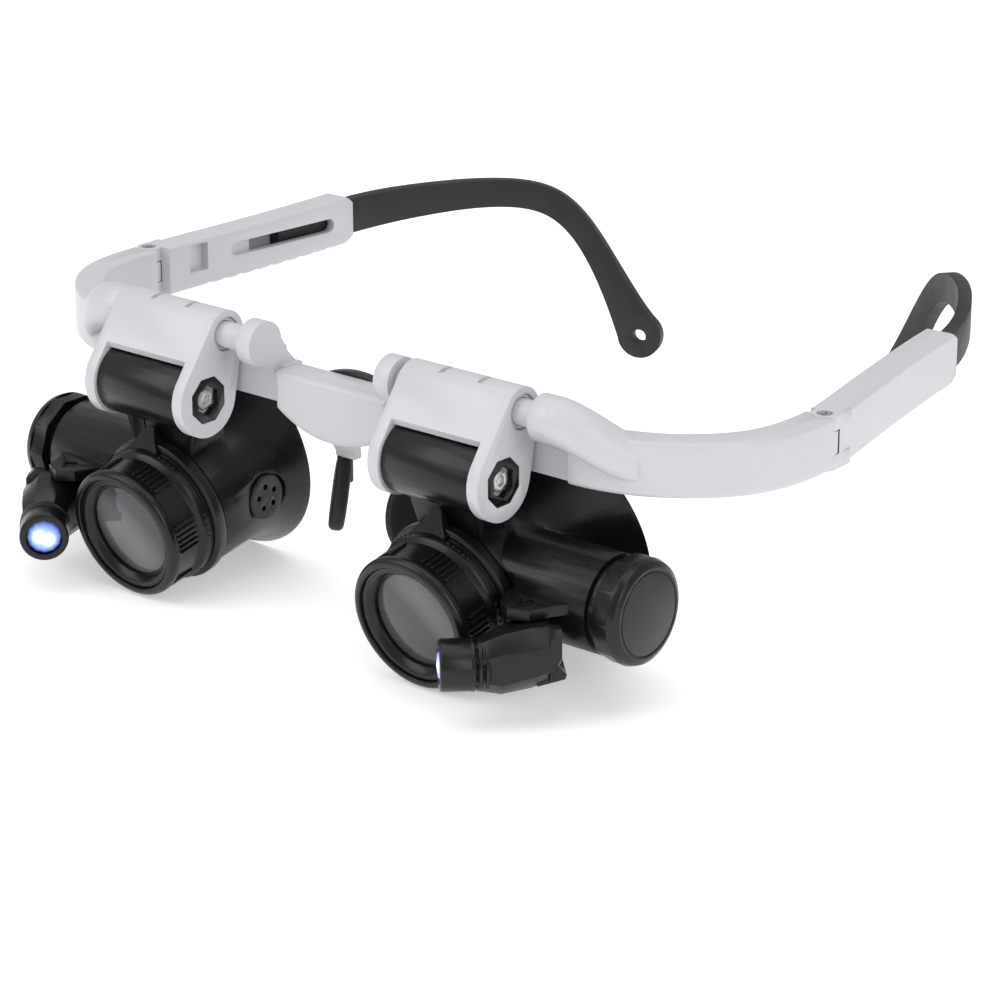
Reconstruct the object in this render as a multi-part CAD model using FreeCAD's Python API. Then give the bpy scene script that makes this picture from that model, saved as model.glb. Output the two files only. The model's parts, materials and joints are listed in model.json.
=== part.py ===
import FreeCAD, Part
import math
import os

V = FreeCAD.Vector
X, Y, Z = V(1, 0, 0), V(0, 1, 0), V(0, 0, 1)
LEFT, RIGHT = 1, -1  # the wearer's left is +X, the wearer faces -Y

# Everything is drawn about the brackets' pivot rods: they lie along X at y = 0, z = 0.
# The whole assembly is moved onto the table at the end.

# Spacing of the two loupes
bay_in, bay_out = 16.7, 45.4  # inner and outer end of each bracket bay, from the middle of the frame
loupe_centre = 32.0
rest_shift = -1.9  # both loupes stand this far towards -X on their rods
bracket_width = 22.8
fit = 0.05  # radial clearance of a pin in its hole

# Front frame
frame_top, frame_bottom = -1.9, -11.0
wall_front, wall_rear = 3.6, 7.4
wall_step = 4.4  # the wall stands back above this height so that the bracket's top can turn
bay_wall_bottom = -11.0
arm_thick = 5.8
bridge_half, bridge_front, bridge_rear = 12.3, 0.5, 6.6
bridge_top, bridge_low = -4.6, -14.9
knuckle_r, knuckle_thick = 3.9, 3.1
rod_r = 2.2
rod_bite = 2.2  # how deep the rod sits in the inner knuckle
sleeve_r = 2.9  # the friction sleeve between the rod and the bracket

# Temple hinge and sleeve
hinge_x, hinge_y = 75.0, 34.2
hinge_pin_r = 0.8
hinge_knuckle_r = 2.2
hinge_gap = 0.2
tongue_low, tongue_high = -8.3, -4.6
fold_wedge = 22.8  # degrees cut back on each side of the joint
left_fold = 2.2  # degrees that the left temple stands folded in
sleeve_end_y = 80.0
sleeve_rise = 1.3
channel_wide, channel_tall = 2.9, 7.0
strip_wide, strip_tall = 2.4, 6.6
strip_mid_z = -5.1
strip_lean = 6.2  # degrees that the strip runs inward

# Bracket and the clamp through it
barrel_y, barrel_z = -4.7, -10.43
barrel_r, barrel_half = 6.0, 9.0
ear_r, ear_inner = 6.5, 9.2
nut_across = 8.26  # across the corners of the octagon
clamp_r = 1.5

# Loupe: its optical axis points forward and down
tilt = 11.35
rim_y, rim_z = -14.77, -34.35  # centre of the front rim
rim_r = 11.7
body_r = 12.4
body_front, flare_start, cup_end = 12.5, 21.0, 31.5
cup_r, cup_out, cup_up = 19.8, 5.0, 1.6
shell = 1.3

# Battery tube on the outer side of each loupe
tube_y, tube_z = 3.4, -29.3
tube_r, neck_r, cell_r = 8.3, 7.4, 5.8
tube_end, neck_end = 27.6, 31.8
cap_start, cap_end, cap_r = 29.3, 34.0, 8.8
cell_thick, cell_count, first_cell = 5.4, 3, 14.0

# Swivelling lamp under the ear of the battery tube
ear_x, ear_y, ear_top, ear_thick = 18.9, -8.1, -27.5, 1.8
lamp_turn = 45.0  # degrees inward from straight ahead
lamp_offset = 4.7
lamp_axis_z, lamp_head_r = -35.7, 4.2
lamp_nose, lamp_tail = 14.3, -5.6


def box(x0, x1, y0, y1, z0, z1):
    return Part.makeBox(x1 - x0, y1 - y0, z1 - z0, V(x0, y0, z0))


def rod(radius, start, end):
    """A round bar from one point to another."""
    return Part.makeCylinder(radius, (end - start).Length, start, end - start)


def face_of(points):
    return Part.Face(Part.makePolygon(points + points[:1]))


def plate(points, travel):
    return face_of(points).extrude(travel)


def spline(points):
    curve = Part.BSplineCurve()
    curve.interpolate(points)
    return curve


def ribbon(points, thickness):
    """The plan face between a curve and its offset to the left of its direction."""
    outer = spline([V(x, y, 0) for x, y in points])
    offset = []
    for x, y in points:
        along = outer.tangent(outer.parameter(V(x, y, 0)))[0]
        offset.append(V(x - along.y * thickness, y + along.x * thickness, 0))
    inner = spline(offset)
    edges = [
        outer.toShape(),
        Part.makeLine(outer.EndPoint, inner.EndPoint),
        inner.toShape(),
        Part.makeLine(inner.StartPoint, outer.StartPoint),
    ]
    return Part.Face(Part.Wire(Part.__sortEdges__(edges)))


def revolved(profile, axis_direction=Y):
    """Turn a closed (radius, station) outline about the axis through the origin."""
    points = [V(radius, station, 0) for radius, station in profile]
    return face_of(points).revolve(V(0, 0, 0), axis_direction, 360)


def ring_at(station, radius, out=0.0, up=0.0):
    circle = Part.Circle(V(out, station, up), Y, radius)
    return Part.Wire([circle.toShape()])


def rounded(shape, radius, wanted):
    edges = [edge for edge in shape.Edges if wanted(edge)]
    return shape.makeFillet(radius, edges) if edges else shape


def fused(first, *others):
    return first.fuse(list(others)).removeSplitter()


def in_loupe(shape):
    """From the loupe's straight frame (station along +Y) to its tilted place."""
    placed = shape.copy()
    tilted = FreeCAD.Placement(V(0, rim_y, rim_z), FreeCAD.Rotation(X, tilt))
    placed.Placement = tilted.multiply(shape.Placement)
    return placed


def on_side(shape, side, mirrored=True):
    """Put a piece drawn about x = 0, outer side +X, at its loupe's place."""
    if side == RIGHT and mirrored:
        shape = shape.mirror(V(0, 0, 0), X)
    return shape.translated(V(side * loupe_centre + rest_shift, 0, 0))


def mirrored_for(shape, side):
    return shape if side == LEFT else shape.mirror(V(0, 0, 0), X)


# ---------------------------------------------------------------- front frame

def arm():
    outline = [(49, 1.9), (55, 2.5), (61, 4.4), (69.3, 9.9), (75.2, 17.9), (77.2, 26.2), (77.2, hinge_y)]
    face = ribbon(outline, arm_thick)
    face.translate(V(0, 0, frame_bottom))
    body = face.extrude(V(0, 0, frame_top - frame_bottom))
    return rounded(body, 0.9, lambda e: e.Length > 30)


def inner_knuckle():
    """The ear between a bay and the bridge: round in front, its back sloping down to the bridge."""
    tail = [V(0, 2.4, 3.07), V(0, 4.3, -0.4), V(0, 5.6, -2.7), V(0, wall_rear, bridge_top),
            V(0, wall_rear, -9), V(0, 0, -knuckle_r)]
    start = bay_in - knuckle_thick
    ear = Part.makeCylinder(knuckle_r, knuckle_thick, V(start, 0, 0), X)
    ear = ear.fuse(plate(tail, V(knuckle_thick, 0, 0)).translated(V(start, 0, 0)))
    return ear.removeSplitter()


def outer_knuckle():
    """The ear at the bay's outer end and the brow that runs from it into the arm."""
    ear = Part.makeCylinder(knuckle_r, 3.6, V(bay_out, 0, 0), X)
    rings = []
    for x, y, z, radius in ((bay_out + 3.5, 0, 0, knuckle_r), (53.0, 0.9, -1.3, 3.9),
                            (56.5, 3.0, -3.6, 3.8), (61.0, 7.0, -6.4, 3.1)):
        rings.append(Part.Wire([Part.Circle(V(x, y, z), X, radius).toShape()]))
    brow = Part.makeLoft(rings, True, False)
    root = plate([V(0, 0, -knuckle_r), V(0, 2.4, 3.07), V(0, wall_rear, frame_top), V(0, wall_rear, -9)],
                 V(4.5, 0, 0)).translated(V(bay_out, 0, 0))
    return ear.fuse([brow, root])


def frame_half():
    low_wall = box(bridge_half, 55, wall_front, wall_rear, bay_wall_bottom, -wall_step)
    high_wall = box(bay_in - 1, 55, wall_step, wall_rear, -wall_step - 0.5, frame_top)
    high_wall = rounded(high_wall, 0.8, lambda e: abs(e.BoundBox.ZMin - frame_top) < 0.01
                        and e.BoundBox.XLength > 20)
    solid = arm().fuse([low_wall, high_wall, inner_knuckle(), outer_knuckle()])
    solid = solid.cut(rod(rod_r, V(bay_in - rod_bite, 0, 0), V(bay_out + 5.6, 0, 0)))
    return solid


def bridge():
    """The nose bridge: a block with a flat top whose lower edge sags towards the middle."""
    sag = Part.Arc(V(-bridge_half, 0, bay_wall_bottom), V(0, 0, bridge_low),
                   V(bridge_half, 0, bay_wall_bottom)).toShape()
    corners = [V(-bridge_half, 0, bay_wall_bottom), V(-bridge_half, 0, bridge_top),
               V(bridge_half, 0, bridge_top), V(bridge_half, 0, bay_wall_bottom)]
    face = Part.Face(Part.Wire(Part.__sortEdges__([sag] + Part.makePolygon(corners).Edges)))
    block = face.extrude(V(0, bridge_rear - bridge_front, 0)).translated(V(0, bridge_front, 0))
    block = rounded(block, 1.1, lambda e: abs(e.BoundBox.YMax - bridge_front) < 0.01)
    ends = [box(s * bridge_half - 1.6, s * bridge_half + 1.6, wall_front, bridge_rear, -9, bridge_top)
            for s in (-1, 1)]
    return block.fuse(ends)


def hinge_space(side_of_pin):
    """What is cut from one half of the hinge so that the other can turn in it."""
    centre = V(hinge_x, hinge_y, -20)
    reach = 12
    lean = math.radians(fold_wedge) * side_of_pin
    inner = centre + V(-reach * math.cos(lean), reach * math.sin(lean), 0)
    outer = centre + V(reach, 0, 0)
    depth = V(0, -side_of_pin * reach * 2, 0)
    return plate([centre, inner, inner + depth, outer + depth, outer], V(0, 0, 30))


def hinge_round(radius, low, high):
    return Part.makeCylinder(radius, high - low, V(hinge_x, hinge_y, low))


def front_frame():
    halves = []
    for side in (LEFT, RIGHT):
        half = frame_half()
        half = half.cut(hinge_space(-1))
        half = half.cut(hinge_round(hinge_knuckle_r + hinge_gap, tongue_high + hinge_gap, 5))
        half = half.cut(hinge_round(hinge_knuckle_r + hinge_gap, -15, tongue_low - hinge_gap))
        tongue = hinge_round(hinge_knuckle_r, tongue_low, tongue_high)
        root = box(hinge_x - 2, hinge_x + 2.1, hinge_y - 4.5, hinge_y, tongue_low, tongue_high)
        half = half.fuse([tongue, root])
        half = half.cut(hinge_round(hinge_pin_r + fit, -12, 0))
        halves.append(mirrored_for(half, side))
    solid = bridge().fuse(halves)
    for x in screw_places():
        boss = Part.makeCylinder(2.1, 4.7, V(x, screw_y, frame_top - 3.5))
        solid = solid.fuse(boss)
        solid = solid.cut(Part.makeCylinder(0.9, 6, V(x, screw_y, frame_top - 4.8)))
    return solid.removeSplitter()


screw_y = 6.8


def screw_places():
    return [side * loupe_centre + rest_shift for side in (LEFT, RIGHT)]


def frame_screw(x):
    top = frame_top + 1.3
    shank = Part.makeCylinder(0.9, 5.5, V(x, screw_y, top - 5.5))
    head = Part.makeCylinder(1.9, 0.6, V(x, screw_y, top))
    dome = Part.makeSphere(2.6, V(x, screw_y, top + 1.25 - 2.6))
    dome = dome.common(Part.makeCylinder(1.9, 3, V(x, screw_y, top + 0.3)))
    solid = fused(shank, head, dome)
    slot_a = box(x - 1.2, x + 1.2, screw_y - 0.25, screw_y + 0.25, top + 0.6, top + 2)
    slot_b = box(x - 0.25, x + 0.25, screw_y - 1.2, screw_y + 1.2, top + 0.6, top + 2)
    return solid.cut([slot_a, slot_b])


# ------------------------------------------------------------------ nose piece

def nose_carrier():
    """A black saddle behind the bridge, its crown just above the bridge's top."""
    reach = 9.0
    top = Part.Arc(V(-reach, 0, -6.2), V(0, 0, -3.9), V(reach, 0, -6.2)).toShape()
    sides = [Part.makeLine(V(s * reach, 0, -6.2), V(s * reach, 0, carrier_low)) for s in (-1, 1)]
    base = Part.makeLine(V(-reach, 0, carrier_low), V(reach, 0, carrier_low))
    face = Part.Face(Part.Wire(Part.__sortEdges__([top, base] + sides)))
    return face.extrude(V(0, 2.0, 0)).translated(V(0, bridge_rear, 0))


carrier_low = -9.4
pad_top, pad_foot = V(7.6, 12.5, -21.6), V(7.6, 9.7, -34.2)
pad_splay = -44.0  # degrees, so that the pad's inner face looks inward and back
pad_thick, pad_wide = 2.6, 3.7
pad_pin_r = 0.8


def nose_arm():
    """A moulded strut from the saddle down to the pad, ending in the pad's upright pivot."""
    upper = [V(1.2, 0, 0), V(9.4, 0, 0), V(9.4, 1.7, 0), V(1.2, 1.7, 0)]
    lower = [V(4.6, 0, 0), V(9.0, 0, 0), V(9.0, 1.7, 0), V(4.6, 1.7, 0)]
    stages = [(upper, 6.9, carrier_low), (upper, 7.0, -12.5), (lower, pad_top.y - 0.85, -20.6),
              (lower, pad_top.y - 0.85, pad_top.z + 0.1)]
    rings = []
    for section, y, z in stages:
        rings.append(Part.makePolygon([p + V(0, y, z) for p in section + section[:1]]))
    strut = Part.makeLoft(rings, True, True)
    pin = rod(pad_pin_r, V(pad_top.x, pad_top.y, pad_top.z + 1.0), V(pad_top.x, pad_top.y,
                                                                     pad_top.z - 3.4))
    return strut.fuse(pin).removeSplitter()


def nose_pad():
    """An oval pad that turns on the pin in its top end."""
    length = (pad_foot - pad_top).Length
    oval = Part.Ellipse(V(0, 0, 0), length / 2, pad_wide).toShape()
    disc = Part.Face(Part.Wire([oval])).extrude(V(0, 0, pad_thick))
    disc = disc.makeFillet(1.0, [e for e in disc.Edges if e.BoundBox.ZLength < 0.01])
    disc.translate(V(0, 0, -pad_thick / 2))
    disc.rotate(V(0, 0, 0), Y, 90)
    disc.rotate(V(0, 0, 0), Z, pad_splay)
    slant = FreeCAD.Rotation(Z, pad_top - pad_foot)
    disc.Placement = FreeCAD.Placement((pad_top + pad_foot) * 0.5, slant).multiply(disc.Placement)
    socket = Part.makeCylinder(1.35, 4.4, V(pad_top.x, pad_top.y, pad_top.z - 4.4))
    bore = Part.makeCylinder(pad_pin_r + fit, 3.6, V(pad_top.x, pad_top.y, pad_top.z - 3.6))
    above = Part.makeCylinder(5, 3, V(pad_top.x, pad_top.y, pad_top.z))
    return disc.fuse(socket).cut([bore, above])


# ---------------------------------------------------------- bracket and clamp

def bracket_side_profile():
    top = Part.makeCylinder(knuckle_r + 0.2, bracket_width, V(-bracket_width / 2, 0, 0), X)
    low = Part.makeCylinder(ear_r, bracket_width, V(-bracket_width / 2, barrel_y, barrel_z), X)
    small, large = knuckle_r + 0.2, ear_r
    span = math.hypot(barrel_y, barrel_z)
    ux, uz = barrel_y / span, barrel_z / span
    along = (small - large) / span
    across = math.sqrt(1 - along * along)
    points = []
    for sign, order in ((1, (0, 1)), (-1, (1, 0))):
        ny, nz = along * ux - sign * across * -uz, along * uz + sign * across * -ux
        ends = [V(-bracket_width / 2, small * ny, small * nz),
                V(-bracket_width / 2, barrel_y + large * ny, barrel_z + large * nz)]
        points += [ends[index] for index in order]
    middle = plate(points, V(bracket_width, 0, 0))
    return fused(top, low, middle)


def bracket():
    body = bracket_side_profile()
    cavity = Part.makeCylinder(barrel_r + 0.35, 2 * ear_inner, V(-ear_inner, barrel_y, barrel_z), X)
    below = box(-ear_inner, ear_inner, -20, 20, -25, barrel_z + 3.0)
    window = plate([V(-ear_inner, -7.6, -3.5), V(-ear_inner, -14, 0), V(-ear_inner, -14, -14),
                    V(-ear_inner, barrel_y, barrel_z)], V(2 * ear_inner, 0, 0))
    rear = box(-ear_inner, ear_inner, barrel_y, 8, barrel_z, -4.3)
    body = body.cut([cavity, below, window, rear])
    body = body.cut(rod(sleeve_r + fit, V(-20, 0, 0), V(20, 0, 0)))
    for end in (-1, 1):
        recess = octagon(end * 10.0, end * 12.0, nut_across / 2 + 0.05)
        hole = rod(clamp_r + fit, V(end * 8, barrel_y, barrel_z), V(end * 12, barrel_y, barrel_z))
        body = body.cut([recess, hole])
        notch = box(end * 4.0 - 0.5, end * 4.0 + 0.5, -1.8, 5, 3.5, 6)
        body = body.cut(notch)
    return body.removeSplitter()


def octagon(start, end, radius):
    points = []
    for step in range(8):
        turn = math.radians(22.5 + 45 * step)
        points.append(V(start, barrel_y + radius * math.cos(turn), barrel_z + radius * math.sin(turn)))
    return plate(points, V(end - start, 0, 0))


def hexagon(start, end, flats):
    points = []
    for step in range(6):
        turn = math.radians(30 + 60 * step)
        radius = flats / 2 / math.cos(math.radians(30))
        points.append(V(start, barrel_y + radius * math.cos(turn), barrel_z + radius * math.sin(turn)))
    return plate(points, V(end - start, 0, 0))


def side_nut(end):
    body = octagon(end * 10.05, end * 11.4, nut_across / 2)
    return body.cut(hexagon(end * 10.0, end * 12.0, 4.6))


def clamp_screw():
    shank = rod(clamp_r, V(-11.0, barrel_y, barrel_z), V(10.1, barrel_y, barrel_z))
    head = rod(1.75, V(10.1, barrel_y, barrel_z), V(10.75, barrel_y, barrel_z))
    socket = hexagon(10.35, 12.0, 1.6)
    return fused(shank, head).cut(socket)


def clamp_nut():
    body = hexagon(-10.1, -10.9, 4.4)
    return body.cut(rod(clamp_r, V(-13, barrel_y, barrel_z), V(-9, barrel_y, barrel_z)))


def pivot_rod():
    shaft = rod(rod_r, V(bay_in - rod_bite + 0.1, 0, 0), V(bay_out + 5.4, 0, 0))
    return shaft.makeChamfer(0.3, [e for e in shaft.Edges if e.BoundBox.XLength < 0.01])


def friction_sleeve():
    """A sleeve that grips the rod: it slides along it, and the bracket turns on it."""
    half = bracket_width / 2 - 0.4
    return rod(sleeve_r, V(-half, 0, 0), V(half, 0, 0)).cut(rod(rod_r + fit, V(-20, 0, 0), V(20, 0, 0)))


# ----------------------------------------------------------------------- loupe

def flare(inset):
    """The eye cup: an eccentric cone that opens outward, as a solid."""
    stations = [(flare_start - 1, 0.0), (flare_start + 3.5, 0.12), (cup_end - 3.2, 0.50), (cup_end, 1.0)]
    rings = []
    for station, share in stations:
        radius = body_r + (cup_r - body_r) * share - inset
        rings.append(ring_at(station, radius, cup_out * share, cup_up * share))
    return Part.makeLoft(rings, True, False)


def loupe_body():
    barrel = Part.makeCylinder(body_r, flare_start - 0.5 - body_front, V(0, body_front, 0), Y)
    spigot = Part.makeCylinder(10.3, 8, V(0, 5.5, 0), Y)
    optics = fused(barrel, spigot, flare(0))
    hollow = Part.makeCylinder(8.9, 10, V(0, 5, 0), Y)
    chamber = Part.makeCylinder(body_r - shell, flare_start - 14.2, V(0, 14, 0), Y)
    stop = Part.makeBox(2.6, 3.2, 5.0, V(3.4, body_front, 11.0))
    optics = in_loupe(fused(optics, stop))
    hinge_barrel = rod(barrel_r, V(-barrel_half, barrel_y, barrel_z), V(barrel_half, barrel_y, barrel_z))
    web_points = [V(-barrel_half, 0, 21.0), V(barrel_half, 0, 21.0), V(6.4, 0, 10.0), V(-6.4, 0, 10.0)]
    web = in_loupe(plate(web_points, V(0, 8.2, 0)).translated(V(0, body_front + 0.2, 0)))
    tube = rod(tube_r, V(6, tube_y, tube_z), V(tube_end, tube_y, tube_z))
    neck = rod(neck_r, V(tube_end - 1, tube_y, tube_z), V(neck_end, tube_y, tube_z))
    plan = [V(13.0, tube_y, ear_top), V(13.4, -6.0, ear_top), V(15.6, -10.6, ear_top), V(18.4,
                                                                                         -12.4, ear_top),
            V(21.6, -10.8, ear_top), V(23.3, -6.6, ear_top), V(24.6, -4.9, ear_top), V(24.6, tube_y,
                                                                                       ear_top)]
    tab = plate(plan, V(0, 0, -ear_thick))
    solid = optics.fuse([hinge_barrel, web, tube, neck, tab])
    swing = in_loupe(Part.makeCylinder(14.4, 9.0, V(0, 3.35, 0), Y)
                     .cut(Part.makeCylinder(10.3, 12, V(0, 3, 0), Y)))
    solid = solid.cut(swing)
    solid = solid.cut(in_loupe(hollow.fuse([chamber, flare(shell).cut(box(-30, 30, 0, 19.5, -30, 30))])))
    mouth = in_loupe(Part.makeCylinder(cup_r - shell, 3, V(cup_out, cup_end - 0.01, cup_up), Y))
    cells = rod(cell_r + 0.25, V(first_cell - 1.4, tube_y, tube_z), V(neck_end + 1, tube_y, tube_z))
    pivot = Part.makeCylinder(1.15, 5, V(ear_x, ear_y, ear_top - 3))
    clamp = rod(clamp_r + fit, V(-12, barrel_y, barrel_z), V(12, barrel_y, barrel_z))
    vent = in_loupe(rod(vent_r + 0.3, V(-14.5, vent_station, vent_up), V(-11.9, vent_station, vent_up)))
    solid = solid.cut([mouth, cells, pivot, clamp, vent])
    return solid.removeSplitter()


vent_station, vent_up, vent_r = 22.6, -0.9, 4.0


def vent_plug():
    """A small round plug with breather holes in the inner wall of the loupe."""
    disc = rod(vent_r, V(-12.6, vent_station, vent_up), V(-11.95, vent_station, vent_up))
    disc = disc.makeFillet(0.25, [e for e in disc.Edges if abs(e.BoundBox.XMin + 12.6) < 0.01
                                  and e.BoundBox.XLength < 0.01])
    for step in range(5):
        turn = math.radians(72 * step + 18)
        y, z = vent_station + 2.0 * math.cos(turn), vent_up + 2.0 * math.sin(turn)
        disc = disc.cut(rod(0.5, V(-14, y, z), V(-11, y, z)))
    return in_loupe(disc)


def lens_ring():
    profile = [(10.2, 0.0), (11.2, 0.0), (rim_r, 0.6), (rim_r, 1.6), (11.35, 2.1), (11.35, 6.9),
               (12.1, 7.5), (12.1, 9.2), (11.7, 9.4), (11.7, 9.7), (13.0, 9.9), (13.0, 11.6),
               (12.7, 12.2), (10.4, 12.2), (10.4, 5.5), (8.0, 5.5), (8.0, 4.8), (9.0, 4.8),
               (9.0, 1.9), (10.2, 1.9)]
    body = revolved(profile)
    ribs = []
    for group in range(6):
        for step in range(4):
            turn = 60 * group + 18 + 6.5 * step
            rib = box(-0.35, 0.35, 2.6, 6.4, 11.0, 11.65)
            rib.rotate(V(0, 0, 0), Y, turn)
            ribs.append(rib)
    fin_points = [V(-12.2, 9.9, 5.2), V(-1.4, 9.9, 15.2), V(-0.4, 9.9, 15.8), V(0.5, 9.9, 15.4),
                  V(2.4, 9.9, 12.0), V(-6, 9.9, 9.5)]
    fin = plate(fin_points, V(0, 1.7, 0))
    return in_loupe(fused(body, fin, *ribs))


def lens():
    """A double-convex glass between its seat and the retainer."""
    edge_front, edge_rear, curve = 2.4, 4.5, 42.0
    radius = 8.9
    sag = curve - math.sqrt(curve * curve - radius * radius)
    barrel = Part.makeCylinder(radius, 6, V(0, 0.5, 0), Y)
    front = Part.makeSphere(curve, V(0, edge_front - sag + curve, 0))
    rear = Part.makeSphere(curve, V(0, edge_rear + sag - curve, 0))
    return in_loupe(barrel.common(front).common(rear))


def retainer():
    """The black ring that holds the glass in, its bore widening forward."""
    return in_loupe(revolved([(8.25, 2.25), (8.25, 1.6), (9.3, 0.5), (10.15, 0.5), (10.15, 1.85),
                              (8.95, 1.85),
                              (8.95, 2.25)]))


# --------------------------------------------------------------------- battery

def battery_cap():
    profile = [(0, cap_end), (cap_r - 1.3, cap_end), (cap_r - 0.4, cap_end - 0.5), (cap_r, cap_end - 1.6),
               (cap_r, cap_start), (neck_r + 0.1, cap_start), (neck_r + 0.1, neck_end + 0.3),
               (5.0, neck_end + 0.3), (5.0, neck_end + 1.2), (0, neck_end + 1.2)]
    points = [V(station, radius, 0) for radius, station in profile]
    body = face_of(points).revolve(V(0, 0, 0), X, 360)
    for step in range(10):
        flat = box(cap_start - 1, cap_end - 1.8, -4, 4, cap_r - 0.34, cap_r + 2)
        flat.rotate(V(0, 0, 0), X, 36 * step)
        body = body.cut(flat)
    groove = Part.makeTorus(6.9, 0.18, V(cap_end, 0, 0), X)
    body = body.cut(groove)
    return body.translated(V(0, tube_y, tube_z))


def battery_cells():
    cells = []
    for index in range(cell_count):
        low = first_cell + index * (cell_thick + 0.02)
        cell = rod(cell_r, V(low, tube_y, tube_z), V(low + cell_thick, tube_y, tube_z))
        cells.append(cell.makeFillet(0.4, cell.Edges))
    return Part.makeCompound(cells)


def battery_spring():
    wire_r = 0.3
    low = first_cell + cell_count * (cell_thick + 0.02)
    helix = Part.makeHelix(0.9, 1.9, 3.6)
    section = Part.Wire([Part.Circle(V(3.6, 0, 0), Y, wire_r).toShape()])
    coil = Part.Wire(helix.Edges).makePipeShell([section], True, True)
    coil.rotate(V(0, 0, 0), Y, 90)
    coil.translate(V(low + wire_r + 0.1, tube_y, tube_z))
    return coil


def battery_contact():
    start = first_cell - 1.3
    disc = rod(4.2, V(start, tube_y, tube_z), V(start + 0.4, tube_y, tube_z))
    dome = Part.makeSphere(3.0, V(first_cell - 0.1 - 3.0, tube_y, tube_z))
    dome = dome.common(rod(3.0, V(start + 0.2, tube_y, tube_z), V(first_cell, tube_y, tube_z)))
    return fused(disc, dome)


# ------------------------------------------------------------------------ lamp

def lamp_place(shape):
    """From the lamp's own frame (nose along -Y, pivot at the origin) to its ear."""
    shape.rotate(V(0, 0, 0), Z, -lamp_turn)
    return shape.translated(V(ear_x, ear_y, 0))


def lamp_section(y, left, right, low, high):
    """An eight-sided section across the lamp; y is how far it is behind the pivot."""
    cut = 0.28 * min(right - left, high - low)
    corners = [(left + cut, low), (right - cut, low), (right, low + cut), (right, high - cut),
               (right - cut, high), (left + cut, high), (left, high - cut), (left, low + cut)]
    points = [V(x, y, z) for x, z in corners]
    return Part.makePolygon(points + points[:1])


def lamp():
    """The lamp's body: a tapering block under the ear, a ribbed neck and a round head."""
    high = ear_top - ear_thick - 0.3
    mid = lamp_offset
    upper = Part.makeLoft([lamp_section(-8.6, mid - 3.6, mid + 3.6, lamp_axis_z - 3.8, lamp_axis_z + 3.7),
                           lamp_section(-4.6, mid - 4.6, mid + 3.9, lamp_axis_z - 4.6, -30.4),
                           lamp_section(0.0, -3.6, mid + 3.9, lamp_axis_z - 3.9, high),
                           lamp_section(3.0, -1.9, mid + 3.4, lamp_axis_z - 3.0, high)], True, True)
    rear = Part.makeLoft([lamp_section(2.9, 3.0, mid + 3.4, lamp_axis_z - 3.0, high),
                          lamp_section(4.7, 4.0, mid + 3.0, -35.0, high)], True, True)
    fin = plate([V(0, 1.0, -35.6), V(0, 4.0, -35.6), V(0, -lamp_tail, -37.4), V(0, -lamp_tail - 0.2,
                                                                                -38.2),
                 V(0, 1.0, lamp_axis_z - 3.6)], V(6.8, 0, 0)).translated(V(-0.6, 0, 0))
    head = Part.makeCylinder(lamp_head_r, 5.0, V(mid, -9.3, lamp_axis_z), V(0, -1, 0))
    head = head.makeFillet(0.5, [e for e in head.Edges if abs(e.BoundBox.YMin + lamp_nose) < 0.01
                                 and e.BoundBox.YLength < 0.01])
    neck = Part.makeCylinder(lamp_head_r - 0.7, 6.0, V(mid, -4.0, lamp_axis_z), V(0, -1, 0))
    pin = Part.makeCylinder(1.08, 2.0, V(0, 0, high - 0.2))
    solid = upper.fuse([rear, fin, head, neck, pin])
    bore = Part.makeCylinder(3.1, 3.2, V(mid, -lamp_nose + 3.0, lamp_axis_z), V(0, -1, 0))
    seat = Part.makeCylinder(2.5, 3.0, V(mid, -lamp_nose + 5.0, lamp_axis_z), V(0, -1, 0))
    return lamp_place(solid.cut([bore, seat]).removeSplitter())


def led():
    """The lamp's clear lens and light source."""
    stem = Part.makeCylinder(2.45, 2.2, V(lamp_offset, -lamp_nose + 4.8, lamp_axis_z), V(0, -1, 0))
    flange = Part.makeCylinder(3.05, 2.0, V(lamp_offset, -lamp_nose + 2.95, lamp_axis_z), V(0, -1, 0))
    dome = Part.makeSphere(3.6, V(lamp_offset, -lamp_nose + 2.95, lamp_axis_z))
    dome = dome.common(Part.makeCylinder(3.05, 3.4, V(lamp_offset, -lamp_nose + 2.0, lamp_axis_z),
                                         V(0, -1, 0)))
    return lamp_place(fused(stem, flange, dome))


# --------------------------------------------------------------------- temples

def sleeve():
    outline = [(77.2, hinge_y - 6), (77.2, hinge_y), (75.5, 48.2), (73.4, 64.0), (71.7, sleeve_end_y + 6)]
    face = ribbon(outline, arm_thick)
    face.translate(V(0, 0, frame_bottom - 2))
    body = face.extrude(V(0, 0, 14))
    side = [V(0, hinge_y - 4, frame_top), V(0, hinge_y + 2, frame_top), V(0, 62.0, frame_top + 0.75),
            V(0, sleeve_end_y - 1.2, frame_top + sleeve_rise), V(0, sleeve_end_y,
                                                                 frame_top + sleeve_rise - 1.2),
            V(0, sleeve_end_y, frame_bottom + sleeve_rise + 1.6),
            V(0, sleeve_end_y - 2.4, frame_bottom + sleeve_rise), V(0, 62.0, frame_bottom + 0.75),
            V(0, hinge_y + 2, frame_bottom), V(0, hinge_y - 4, frame_bottom)]
    body = body.common(plate(side, V(100, 0, 0)))
    body = rounded(body, 0.8, lambda e: e.BoundBox.YLength > 14 and e.BoundBox.ZLength < 2)
    for step in range(9):
        y = 45.0 + 3.6 * step
        low = frame_bottom + (y - hinge_y) / (sleeve_end_y - hinge_y) * sleeve_rise
        body = body.cut(Part.makeCylinder(1.5, 30, V(60, y, low - 1.05), X))
    return body


def slide_line(distance):
    """A point on the strip's straight line, measured from the sleeve's end."""
    lean = math.radians(strip_lean)
    return V(69.0 - distance * math.sin(lean), sleeve_end_y + distance * math.cos(lean), strip_mid_z)


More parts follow.
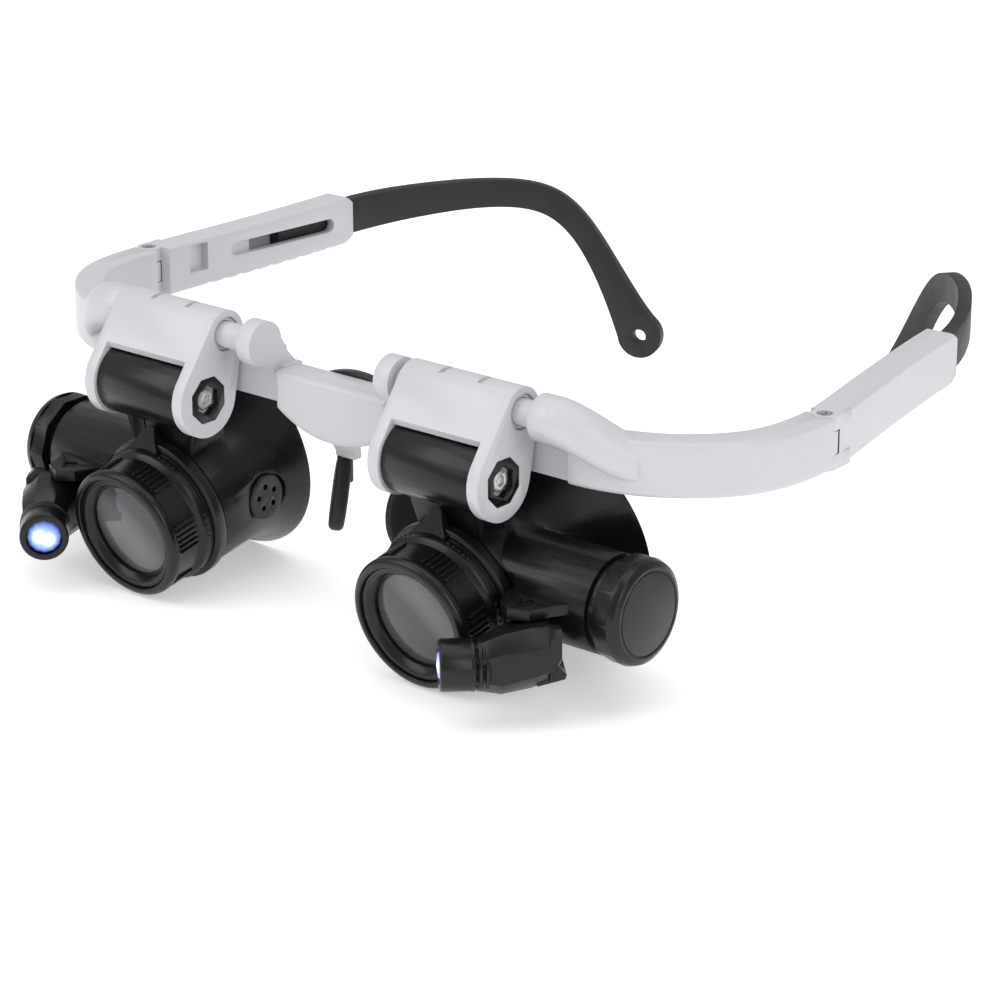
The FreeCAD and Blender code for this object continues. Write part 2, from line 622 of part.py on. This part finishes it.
def slide_box(start, end, wide, tall):
    bar = box(-wide / 2, wide / 2, start, end, -tall / 2, tall / 2)
    bar.rotate(V(0, 0, 0), Z, strip_lean)
    return bar.translated(slide_line(0))


def temple(side):
    body = sleeve()
    body = body.cut(hinge_space(1))
    body = body.cut(hinge_round(hinge_knuckle_r + hinge_gap, tongue_low - hinge_gap,
                                tongue_high + hinge_gap))
    rest = [(tongue_high + hinge_gap, frame_top), (frame_bottom, tongue_low - hinge_gap)]
    for low, high in rest:
        lug = hinge_round(hinge_knuckle_r, low, high)
        root = box(hinge_x - 2, hinge_x + 2.1, hinge_y, hinge_y + 4.5, low, high)
        body = body.fuse([lug, root])
    body = body.cut(hinge_round(hinge_pin_r, -12, 0))
    body = body.cut(hinge_round(1.35, frame_top - 0.7, 0))
    body = body.cut(slide_box(-31, 3, channel_wide, channel_tall))
    slot = box(60, 70.2, 50.0, 75.0, strip_mid_z - 1.3, strip_mid_z + 1.3)
    slot = rounded(slot, 1.25, lambda e: e.BoundBox.XLength > 5)
    recess = box(66, 71.8, 40.5, 44.6, strip_mid_z - 2.6, strip_mid_z + 2.6)
    body = body.cut([slot, recess])
    return mirrored_for(body.removeSplitter(), side)


def hinge_screw(side):
    head = hinge_round(1.3, frame_top - 0.7, frame_top - 0.1)
    shank = hinge_round(hinge_pin_r, frame_bottom + 0.2, frame_top - 0.7)
    slot_a = box(hinge_x - 0.9, hinge_x + 0.9, hinge_y - 0.15, hinge_y + 0.15, frame_top - 0.4, 0)
    slot_b = box(hinge_x - 0.15, hinge_x + 0.15, hinge_y - 0.9, hinge_y + 0.9, frame_top - 0.4, 0)
    return mirrored_for(fused(head, shank).cut([slot_a, slot_b]), side)


tip_route = [V(66.6, 89.5, -4.6), V(61.8, 99.5, -4.1), V(55.3, 109.0, -4.0), V(47.2, 116.9, -6.2),
             V(39.2, 122.0, -16.8), V(31.2, 125.0, -32.1)]  # the strip's middle line behind the sleeve
tip_half = [3.3, 3.2, 2.9, 2.65, 2.6, 2.4, 4.4]  # half the strip's width at the sleeve and at each point
hole_r = 1.4


def tip_edges():
    """The strip's four long edges and the frame of its last section."""
    points = [slide_line(0)] + tip_route
    route = spline(points)
    edges = [[], [], [], []]
    for point, half in zip(points, tip_half):
        along = route.tangent(route.parameter(point))[0]
        outward = V(along.y, -along.x, 0).normalize()
        up = outward.cross(along).normalize()
        for index, (side, rise) in enumerate(((1, 1), (1, -1), (-1, -1), (-1, 1))):
            edges[index].append(point + outward * (side * strip_wide / 2) + up * (rise * half))
    return edges, points[-1], outward


def temple_tip(side):
    """A springy flat strip: straight in its sleeve, then hooked inward and down."""
    edges, hole, outward = tip_edges()
    curves = [spline(points).toShape() for points in edges]
    walls = [Part.makeRuledSurface(curves[index], curves[(index + 1) % 4]) for index in range(4)]
    ends = [face_of([points[end] for points in edges]) for end in (0, -1)]
    blade = Part.Solid(Part.Shell(walls + ends))
    straight = slide_box(-17, 0, strip_wide, strip_tall)
    paddle = rod(tip_half[-1], hole - outward * (strip_wide / 2), hole + outward * (strip_wide / 2))
    solid = blade.fuse([straight, paddle])
    solid = solid.cut(rod(hole_r, hole - outward * 6, hole + outward * 6))
    return mirrored_for(solid, side)


# -------------------------------------------------------------------- assembly

def assembly():
    nodes = {
        "front_frame": front_frame(),
        "frame_screws": Part.makeCompound([frame_screw(x) for x in screw_places()]),
        "nose_pad_carrier": nose_carrier(),
    }
    for side, word in ((LEFT, "left"), (RIGHT, "right")):
        nodes["nose_pad_arm_" + word] = mirrored_for(nose_arm(), side)
        nodes["nose_pad_" + word] = mirrored_for(nose_pad(), side)
        nodes["temple_" + word] = temple(side)
        nodes["temple_hinge_screw_" + word] = hinge_screw(side)
        nodes["temple_tip_" + word] = temple_tip(side)
        nodes["pivot_rod_" + word] = mirrored_for(pivot_rod(), side)
        nodes["friction_sleeve_" + word] = on_side(friction_sleeve(), side, mirrored=False)
        nodes["bracket_" + word] = on_side(bracket(), side, mirrored=False)
        nuts = Part.makeCompound([side_nut(end) for end in (-1, 1)])
        nodes["bracket_inserts_" + word] = on_side(nuts, side, mirrored=False)
        nodes["clamp_screw_" + word] = on_side(clamp_screw(), side, mirrored=False)
        nodes["clamp_nut_" + word] = on_side(clamp_nut(), side, mirrored=False)
        nodes["loupe_body_" + word] = on_side(loupe_body(), side)
        nodes["vent_plug_" + word] = on_side(vent_plug(), side)
        nodes["lens_ring_" + word] = on_side(lens_ring(), side, mirrored=False)
        nodes["objective_lens_" + word] = on_side(lens(), side)
        nodes["lens_retainer_" + word] = on_side(retainer(), side)
        nodes["battery_cap_" + word] = on_side(battery_cap(), side)
        nodes["battery_cells_" + word] = on_side(battery_cells(), side)
        nodes["battery_spring_" + word] = on_side(battery_spring(), side)
        nodes["battery_contact_" + word] = on_side(battery_contact(), side)
        nodes["lamp_" + word] = on_side(lamp(), side)
        nodes["led_" + word] = on_side(led(), side)
    for name in ("temple_left", "temple_tip_left", "temple_hinge_screw_left"):
        nodes[name].rotate(V(hinge_x, hinge_y, 0), Z, left_fold)
    return nodes


def main():
    os.makedirs("parts", exist_ok=True)
    nodes = assembly()
    limits = Part.makeCompound(list(nodes.values())).optimalBoundingBox()
    origin = V(0, (limits.YMin + limits.YMax) / 2, limits.ZMin)
    print("moved by", -origin.y, -origin.z, "size", limits.XLength, limits.YLength, limits.ZLength)
    for name, shape in nodes.items():
        placed = shape.translated(-origin)
        print(name, "valid" if shape.isValid() else "INVALID", len(shape.Solids), "solids",
              round(shape.Volume / 1000, 3), "cm3")
        placed.exportStep("parts/" + name + ".step")


main()
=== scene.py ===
import bmesh
import bpy
import json
import math
from mathutils import Matrix, Vector


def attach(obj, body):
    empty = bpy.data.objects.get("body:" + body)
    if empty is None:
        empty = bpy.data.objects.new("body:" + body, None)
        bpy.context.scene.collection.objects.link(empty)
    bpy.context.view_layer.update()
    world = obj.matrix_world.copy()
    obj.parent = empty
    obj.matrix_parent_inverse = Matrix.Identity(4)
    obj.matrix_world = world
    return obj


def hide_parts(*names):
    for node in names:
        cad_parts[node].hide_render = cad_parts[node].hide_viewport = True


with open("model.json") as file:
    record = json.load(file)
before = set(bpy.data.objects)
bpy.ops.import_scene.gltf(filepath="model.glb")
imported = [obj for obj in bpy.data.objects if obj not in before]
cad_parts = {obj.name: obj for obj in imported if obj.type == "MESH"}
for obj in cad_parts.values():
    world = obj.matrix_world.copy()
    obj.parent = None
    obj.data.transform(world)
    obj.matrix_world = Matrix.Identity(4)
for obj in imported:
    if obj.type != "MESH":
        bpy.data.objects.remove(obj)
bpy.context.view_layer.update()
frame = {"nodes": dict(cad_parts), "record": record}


# wraps a socket so that shader maths reads as plain expressions
class Wire:
    def __init__(self, tree, socket):
        self.tree = tree
        self.socket = socket

    def math(self, operation, *values):
        return self.tree.node("ShaderNodeMath", {"operation": operation}, [self, *values])

    def __add__(self, other):
        return self.math("ADD", other)

    def __radd__(self, other):
        return self.math("ADD", other)

    def __mul__(self, other):
        return self.math("MULTIPLY", other)

    def __rmul__(self, other):
        return self.math("MULTIPLY", other)


# one procedural material: values that stay the same are set on its own sockets
class Finish:
    def __init__(self, name, **values):
        self.material = bpy.data.materials.new(name)
        self.material.use_nodes = True
        self.nodes = self.material.node_tree.nodes
        self.links = self.material.node_tree.links
        self.bsdf = self.nodes["Principled BSDF"]
        self.set(self.bsdf, values)

    def set(self, node, values):
        items = values.items() if isinstance(values, dict) else enumerate(values)
        for key, value in items:
            socket = node.inputs[key.replace("_", " ") if isinstance(key, str) else key]
            if isinstance(value, Wire):
                self.links.new(value.socket, socket)
            else:
                socket.default_value = value

    def node(self, kind, settings=None, values=(), out=0):
        made = self.nodes.new(kind)
        for key, value in (settings or {}).items():
            if key == "stops":
                ramp = made.color_ramp
                for index, (place, colour) in enumerate(value):
                    stop = ramp.elements[index] if index < 2 else ramp.elements.new(place)
                    stop.position = place
                    stop.color = colour
            else:
                setattr(made, key, value)
        self.set(made, values)
        return Wire(self, made.outputs[out])

    def place(self):
        return self.node("ShaderNodeTexCoord", out=3)

    def noise(self, scale, detail=3.0, rough=0.5):
        return self.node("ShaderNodeTexNoise", {}, {"Vector": self.place(), "Scale": scale, "Detail": detail,
                                                     "Roughness": rough})

    def bump(self, height, strength, distance):
        values = {"Strength": strength, "Distance": distance, "Height": height}
        self.set(self.bsdf, {"Normal": self.node("ShaderNodeBump", {}, values)})

    def mix(self, mask, first, second):
        return self.node("ShaderNodeMix", {"data_type": "RGBA"}, {0: mask, 6: first, 7: second}, out=2)


def rgb(red, green, blue):
    return (red, green, blue, 1.0)


def ranged(finish, value, low, high):
    share = finish.node("ShaderNodeMapRange", {}, [value, 0.3, 0.7, 0.0, 1.0])
    return low + (high - low) * share


# each plastic drifts slightly from its colour to its shade
whiteLook = {"colour": rgb(0.615, 0.61, 0.64), "shade": rgb(0.59, 0.585, 0.615), "rough": 0.32,
             "specular": 0.5}
blackLook = {"colour": rgb(0.0045, 0.0045, 0.005), "shade": rgb(0.008, 0.008, 0.0085), "rough": 0.27,
             "specular": 0.36}
tipLook = {"colour": rgb(0.016, 0.016, 0.018), "shade": rgb(0.024, 0.024, 0.026), "rough": 0.5,
           "specular": 0.35}
padLook = {"colour": rgb(0.010, 0.010, 0.010), "shade": rgb(0.018, 0.018, 0.018), "rough": 0.5,
           "specular": 0.35}
# the glass's grey haze, and the lighter colour of its painted reflection streaks
glassLook = {"haze": rgb(0.072, 0.072, 0.077), "painted_reflection": rgb(0.24, 0.24, 0.25), "clear": 0.9}
glowLook = {"rim": rgb(0.01, 0.015, 0.05), "middle": rgb(0.22, 0.32, 0.95), "centre": rgb(0.9, 0.95, 1.0)}


def mouldedPlastic(name, look, grain=2600.0, depth=0.00002):
    finish = Finish(name, Coat_Roughness=0.12, Specular_IOR_Level=look["specular"])
    flow = finish.noise(38.0, 2.0)
    finish.set(finish.bsdf, {"Base Color": finish.mix(flow, look["colour"], look["shade"])})
    wipe = finish.noise(160.0, 4.0)
    finish.set(finish.bsdf, {"Roughness": ranged(finish, wipe, look["rough"] - 0.04, look["rough"] + 0.07)})
    finish.bump(finish.noise(grain, 2.0), 0.25, depth)
    return finish.material


def steel(name):
    finish = Finish(name, Metallic=1.0, Base_Color=rgb(0.52, 0.52, 0.52))
    scratch = finish.node("ShaderNodeTexNoise", {}, {"Vector": finish.place(), "Scale": 900.0, "Detail": 4.0,
                                                      "Distortion": 1.5})
    finish.set(finish.bsdf, {"Roughness": ranged(finish, scratch, 0.2, 0.38)})
    finish.bump(scratch, 0.2, 0.00001)
    return finish.material


# coated glass: a thin grey haze crossed by soft slanting streaks of painted reflection
def coatedGlass(name):
    finish = Finish(name, Roughness=0.06, Specular_IOR_Level=0.5)
    # painted reflection: slanting light streaks mixed into the glass colour
    reflection_streaks = finish.node("ShaderNodeTexWave", {"bands_direction": "DIAGONAL"},
                          {"Vector": finish.place(), "Scale": 26.0, "Distortion": 2.2, "Detail": 1.0,
                           "Phase Offset": 1.3})
    soft_reflection = finish.node("ShaderNodeMapRange", {}, [reflection_streaks, 0.55, 1.0, 0.0, 0.55])
    finish.set(finish.bsdf, {"Base Color": finish.mix(soft_reflection, glassLook["haze"], glassLook["painted_reflection"])})
    finish.set(finish.bsdf, {"Alpha": glassLook["clear"]})
    return finish.material


# the lamp's lens is lit from behind: dark blue at its rim, nearly white at its centre
def litLens(name):
    finish = Finish(name, Roughness=0.1, Emission_Strength=1.1)
    glow = finish.node("ShaderNodeAttribute", {"attribute_name": "glow"}, out=2)
    colour = finish.node("ShaderNodeValToRGB", {"stops": [(0.0, glowLook["rim"]), (0.45, glowLook["middle"]),
                                                          (0.85, glowLook["centre"])]}, [glow])
    finish.set(finish.bsdf, {"Base Color": colour, "Emission Color": colour})
    return finish.material


whitePlastic = mouldedPlastic("white moulded plastic", whiteLook)
blackPlastic = mouldedPlastic("black moulded plastic", blackLook)
darkTips = mouldedPlastic("dark grey flexible plastic", tipLook, grain=1800.0, depth=0.00004)
softPad = mouldedPlastic("soft black pad", padLook, grain=1400.0, depth=0.00004)
platedSteel = steel("plated steel")
lensGlass = coatedGlass("coated lens glass")
lampGlow = litLens("lit lamp lens")
print("materials made")

bySlot = {"white_plastic": whitePlastic, "black_plastic": blackPlastic, "dark_soft_plastic": darkTips,
          "soft_black": softPad, "steel": platedSteel, "glass": lensGlass, "lamp_lens": lampGlow}
slotOf = {row["node"]: row["material_slot"] for row in frame["record"]["subparts"]}
behaviour = frame["record"]["behaviour"]
bodyOf = {node: body for body, nodes in behaviour["bodies"].items() for node in nodes}
jointOf = {joint["name"]: joint for joint in behaviour["joints"]}
sides = {"left": 1, "right": -1}


# gives a mesh its finish, attaches it to its node's body and hides the CAD node it stands for
def declare(name, mesh, node):
    mesh.materials.clear()
    mesh.materials.append(bySlot[slotOf[node]])
    piece = bpy.data.objects.new(name, mesh)
    bpy.context.scene.collection.objects.link(piece)
    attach(piece, bodyOf[node])
    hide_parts(node)
    return piece


def meshFrom(name, shape):
    bmesh.ops.recalc_face_normals(shape, faces=shape.faces)
    mesh = bpy.data.meshes.new(name)
    shape.to_mesh(mesh)
    shape.free()
    return mesh


def roundEdges(piece, width, segments=2, angle=28.0):
    edge = piece.modifiers.new("edges", "BEVEL")
    edge.width = width
    edge.segments = segments
    edge.limit_method = "ANGLE"
    edge.angle_limit = math.radians(angle)
    edge.use_clamp_overlap = True
    edge.harden_normals = True


# turns a closed outline of (radius, station) points about the station axis, which is local Y
def turned(shape, outline, steps=96):
    points = [shape.verts.new((radius, station, 0)) for radius, station in outline]
    edges = [shape.edges.new((points[i], points[(i + 1) % len(points)])) for i in range(len(points))]
    bmesh.ops.spin(shape, geom=points + edges, cent=(0, 0, 0), axis=(0, 1, 0), angle=math.tau, steps=steps,
                   use_merge=True, use_duplicate=False)
    bmesh.ops.remove_doubles(shape, verts=shape.verts, dist=1e-7)


# points along a rounded corner of an outline, from one direction to another in degrees
def corner(centre, radius, start, end, steps=6):
    turns = [math.radians(start + (end - start) * i / steps) for i in range(steps + 1)]
    return [(centre[0] + radius * math.cos(turn), centre[1] + radius * math.sin(turn)) for turn in turns]


# the loupe's own directions: across, back along the line of sight, and up
def loupeFrame(word):
    joint = jointOf["lens_ring_turn_" + word]
    back = -Vector(joint["axis"])
    across = Vector((1, 0, 0))
    up = across.cross(back)
    return Matrix.Translation(joint["pos_m"]) @ Matrix((across, back, up)).transposed().to_4x4()


# how far each moulding's edges are rounded, in metres
edgeOf = {"front_frame": 0.0006, "temple_left": 0.0004, "temple_right": 0.0004, "bracket_left": 0.0005,
          "bracket_right": 0.0005, "nose_pad_left": 0.0003, "nose_pad_right": 0.0003, "lamp_left": 0.0003,
          "lamp_right": 0.0003, "battery_cap_left": 0.0004, "battery_cap_right": 0.0004}
plainEdge = 0.00018


# a merged, smooth copy of a CAD node with small rounded edges
def refined(node):
    mesh = frame["nodes"][node].data.copy()
    shell = bmesh.new()
    shell.from_mesh(mesh)
    bmesh.ops.remove_doubles(shell, verts=shell.verts, dist=1e-6)
    bmesh.ops.dissolve_limit(shell, angle_limit=math.radians(1.0), verts=shell.verts, edges=shell.edges)
    shell.to_mesh(mesh)
    shell.free()
    mesh.shade_smooth()
    piece = declare(node + "_shell", mesh, node)
    roundEdges(piece, edgeOf.get(node, plainEdge))


# the lens ring, in metres along its radius and back from its front rim
ring = {"rim": 0.0117, "bezel": 0.0011, "waist": 0.01125, "shoulder": 0.0121, "flange": 0.013, "bore": 0.0104,
        "seat": 0.008, "ribGroups": 6, "ribs": 6, "ribPitch": 5.0, "ribStart": 14.0, "ribWide": 0.00045,
        "ribLong": 0.0041, "ribHigh": 0.0004, "ribMiddle": 0.0046, "dots": 5,
        "dotRadius": 0.00028, "dotPlace": 0.0084, "finBack": 0.0116, "finLean": 0.85}


def ringOutline():
    rim, bezel, waist = ring["rim"], ring["bezel"], ring["waist"]
    outline = [(0.0102, 0.0019), (0.0102, 0.0003)] + corner((0.0105, 0.0003), 0.0003, 180, 270, 3)
    outline += corner((rim - bezel, bezel), bezel, 270, 360, 7)
    outline += [(rim, 0.0016), (waist + 0.0001, 0.0020), (waist, 0.0023), (waist, 0.0069)]
    outline += [(ring["shoulder"] - 0.0002, 0.0074), (ring["shoulder"], 0.0077), (ring["shoulder"], 0.0091)]
    outline += [(0.0117, 0.0094), (0.0117, 0.0097)]
    outline += [(ring["flange"] - 0.0002, 0.0099), (ring["flange"], 0.0101)]
    outline += [(ring["flange"], 0.0115), (ring["flange"] - 0.0003, 0.0121), (ring["bore"], 0.0122)]
    outline += [(ring["bore"], 0.0055), (ring["seat"], 0.0055), (ring["seat"], 0.0048), (0.009, 0.0048)]
    return outline + [(0.009, 0.0019)]


# a small block standing on the ring: turned to its angle about the station axis
def addBlock(shape, size, station, radius, turn):
    made = bmesh.ops.create_cube(shape, size=1.0)["verts"]
    bmesh.ops.scale(shape, verts=made, vec=size)
    bmesh.ops.translate(shape, verts=made, vec=(0, station, radius))
    bmesh.ops.rotate(shape, verts=made, cent=(0, 0, 0), matrix=Matrix.Rotation(turn, 3, "Y"))
    return made


def addRibs(shape):
    for group in range(ring["ribGroups"]):
        for step in range(ring["ribs"]):
            turn = math.radians(360 / ring["ribGroups"] * group + ring["ribStart"] + ring["ribPitch"] * step)
            size = (ring["ribWide"], ring["ribLong"], ring["ribHigh"] * 2)
            addBlock(shape, size, ring["ribMiddle"], ring["waist"], turn)
            if step < ring["dots"]:
                dot = bmesh.ops.create_icosphere(shape, subdivisions=2, radius=ring["dotRadius"])["verts"]
                bmesh.ops.translate(shape, verts=dot, vec=(0, ring["dotPlace"], ring["shoulder"]))
                turn += math.radians(ring["ribPitch"] / 2)
                bmesh.ops.rotate(shape, verts=dot, cent=(0, 0, 0), matrix=Matrix.Rotation(turn, 3, "Y"))


# the pointed fin that the fingers push to turn the ring
def addFin(shape):
    outline = [(-0.0122, 0.0052), (-0.0062, 0.0102), (-0.0014, 0.0152), (-0.0004, 0.0158), (0.0003, 0.0155),
               (0.0012, 0.0136), (0.0024, 0.0120), (-0.006, 0.0095)]
    front = []
    for x, z in outline:
        rise = math.hypot(x, z) - ring["shoulder"]
        front.append(shape.verts.new((x, min(0.0112, 0.0086 + ring["finLean"] * rise), z)))
    rear = [shape.verts.new((x * 0.98, ring["finBack"], z * 0.985)) for x, z in outline]
    shape.faces.new(front)
    shape.faces.new(list(reversed(rear)))
    for i in range(len(outline)):
        j = (i + 1) % len(outline)
        shape.faces.new((front[i], rear[i], rear[j], front[j]))


def lensRing(word):
    shape = bmesh.new()
    turned(shape, ringOutline(), 120)
    addRibs(shape)
    addFin(shape)
    shape.transform(loupeFrame(word))
    mesh = meshFrom("lens_ring_" + word, shape)
    mesh.shade_smooth()
    roundEdges(declare("lens_ring_" + word + "_detail", mesh, "lens_ring_" + word), 0.00012, 2, 35.0)


# the glass: its edge lies between front and rear, and both faces bulge by the curve's radius
glass = {"radius": 0.0088, "front": 0.0024, "rear": 0.0045, "curve": 0.042, "steps": 10}


def objectiveLens(word):
    radius, curve = glass["radius"], glass["curve"]
    bow = curve - math.sqrt(curve * curve - radius * radius)
    outline = []
    for step in range(glass["steps"] + 1):
        r = radius * step / glass["steps"]
        outline.append((r, glass["front"] - bow + curve - math.sqrt(curve * curve - r * r)))
    for step in reversed(range(glass["steps"] + 1)):
        r = radius * step / glass["steps"]
        outline.append((r, glass["rear"] + bow - curve + math.sqrt(curve * curve - r * r)))
    shape = bmesh.new()
    turned(shape, outline, 72)
    shape.transform(loupeFrame(word))
    mesh = meshFrom("objective_lens_" + word, shape)
    mesh.shade_smooth()
    declare("objective_lens_" + word + "_glass", mesh, "objective_lens_" + word)


# the lamp's nose, measured from the place where it swivels
lamp = {"turn": 45.0, "aside": 0.0047, "below": 0.0057, "nose": 0.0143, "radius": 0.00298, "dome": 0.0009,
        "facets": 12}


# directions of the lamp: across, forward and up, from the swivel's place
def lampFrame(word):
    side = sides[word]
    turn = Matrix.Rotation(math.radians(-lamp["turn"] * side), 4, "Z")
    swivel = Matrix.Translation(jointOf["lamp_swivel_" + word]["pos_m"])
    return swivel @ turn @ Matrix.Diagonal((side, 1, 1, 1))


def lampLens(word):
    radius, nose = lamp["radius"], -lamp["nose"]
    outline = [(0, nose - lamp["dome"] + 0.0006), (radius * 0.3, nose - lamp["dome"] + 0.0007),
               (radius * 0.62, nose - 0.0001), (radius * 0.85, nose + 0.0004), (radius, nose + 0.0008),
               (radius, nose + 0.0028), (0, nose + 0.0028)]
    shape = bmesh.new()
    turned(shape, outline, lamp["facets"])
    bmesh.ops.translate(shape, verts=shape.verts, vec=(lamp["aside"], 0, -lamp["below"]))
    mesh = bpy.data.meshes.new("led_" + word)
    layer = shape.verts.layers.float.new("glow")
    for vert in shape.verts:
        off = math.hypot(vert.co.x - lamp["aside"], vert.co.z + lamp["below"]) / radius
        turn = math.atan2(vert.co.z + lamp["below"], vert.co.x - lamp["aside"])
        # the lamp's own glow falls off towards the rim; the sine term is painted facet shading that makes two
        # opposite sides lighter
        vert[layer] = max(0.0, 1.0 - off * off) * (0.8 + 0.2 * math.sin(2.0 * turn + 0.8))
    shape.transform(lampFrame(word))
    bmesh.ops.recalc_face_normals(shape, faces=shape.faces)
    shape.to_mesh(mesh)
    shape.free()
    declare("led_" + word + "_lens", mesh, "led_" + word)


collar = {"start": -0.0064, "pitch": 0.0011, "ridges": 3, "high": 0.0043, "low": 0.0039}


# the ridged collar between the lamp's round head and its block
def lampCollar(word):
    outline = [(0.0010, collar["start"])]
    for ridge in range(collar["ridges"]):
        station = collar["start"] - collar["pitch"] * ridge
        outline += [(collar["low"], station), (collar["high"], station - 0.0002)]
        outline += [(collar["high"], station - 0.0007), (collar["low"], station - 0.0009)]
    outline.append((0.0010, collar["start"] - collar["pitch"] * collar["ridges"]))
    shape = bmesh.new()
    turned(shape, outline, 48)
    bmesh.ops.translate(shape, verts=shape.verts, vec=(lamp["aside"], 0, -lamp["below"]))
    shape.transform(lampFrame(word))
    mesh = meshFrom("lamp_collar_" + word, shape)
    mesh.shade_smooth()
    mesh.materials.append(blackPlastic)
    piece = bpy.data.objects.new("lamp_" + word + "_collar", mesh)
    bpy.context.scene.collection.objects.link(piece)
    roundEdges(piece, 0.0001, 2, 35.0)
    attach(piece, bodyOf["lamp_" + word])


for word in sides:
    lensRing(word)
    objectiveLens(word)
    lampLens(word)
    lampCollar(word)
print("lens rings, glasses, lamp lenses and collars made")

rebuilt = ("lens_ring", "objective_lens", "led")
for node in frame["nodes"]:
    if not node.startswith(rebuilt):
        refined(node)
print("shells refined")

# where the camera stands, in metres and degrees
view = {"place": (0.37819, -0.46184, 0.22483), "azimuth": 39.77, "elevation": 20.03, "roll": -0.11,
        "lens": 129.13}


def addLight(name, place, target, size, power):
    data = bpy.data.lights.new(name, "AREA")
    data.shape = "RECTANGLE"
    data.size, data.size_y = size
    data.energy = power
    light = bpy.data.objects.new(name, data)
    light.location = place
    light.rotation_euler = (Vector(target) - Vector(place)).to_track_quat("-Z", "Y").to_euler()
    bpy.context.scene.collection.objects.link(light)


def addFloor():
    shape = bmesh.new()
    bmesh.ops.create_grid(shape, x_segments=1, y_segments=1, size=6.0)
    mesh = bpy.data.meshes.new("floor")
    shape.to_mesh(mesh)
    shape.free()
    floor = bpy.data.objects.new("floor", mesh)
    bpy.context.scene.collection.objects.link(floor)
    paper = Finish("pale floor", Base_Color=rgb(0.9, 0.9, 0.9), Roughness=0.9)
    paper.set(paper.bsdf, {"Emission Color": rgb(1, 1, 1), "Emission Strength": 0.42})
    mesh.materials.append(paper.material)


def addCamera():
    data = bpy.data.cameras.new("camera")
    data.lens = view["lens"]
    data.sensor_width = 36.0
    data.clip_start = 0.01
    camera = bpy.data.objects.new("camera", data)
    turn = Matrix.Rotation(math.radians(view["azimuth"]), 4, "Z")
    lean = Matrix.Rotation(math.radians(90 - view["elevation"]), 4, "X")
    roll = Matrix.Rotation(math.radians(view["roll"]), 4, "Z")
    camera.matrix_world = Matrix.Translation(view["place"]) @ turn @ lean @ roll
    bpy.context.scene.collection.objects.link(camera)
    bpy.context.scene.camera = camera


addFloor()
addCamera()
addLight("key", (-0.5, -0.75, 0.8), (0, 0, 0.02), (0.8, 0.8), 4.2)
addLight("fill", (0.9, -0.3, 0.5), (0, 0, 0.02), (0.5, 0.7), 2.2)
addLight("top", (0.0, 0.1, 1.1), (0, 0, 0), (1.3, 1.0), 4.5)
world = bpy.data.worlds.new("studio")
world.use_nodes = True
world.node_tree.nodes["Background"].inputs[0].default_value = (1, 1, 1, 1)
world.node_tree.nodes["Background"].inputs[1].default_value = 0.5
bpy.context.scene.world = world
bpy.context.scene.view_settings.view_transform = "Standard"
print("stage set")
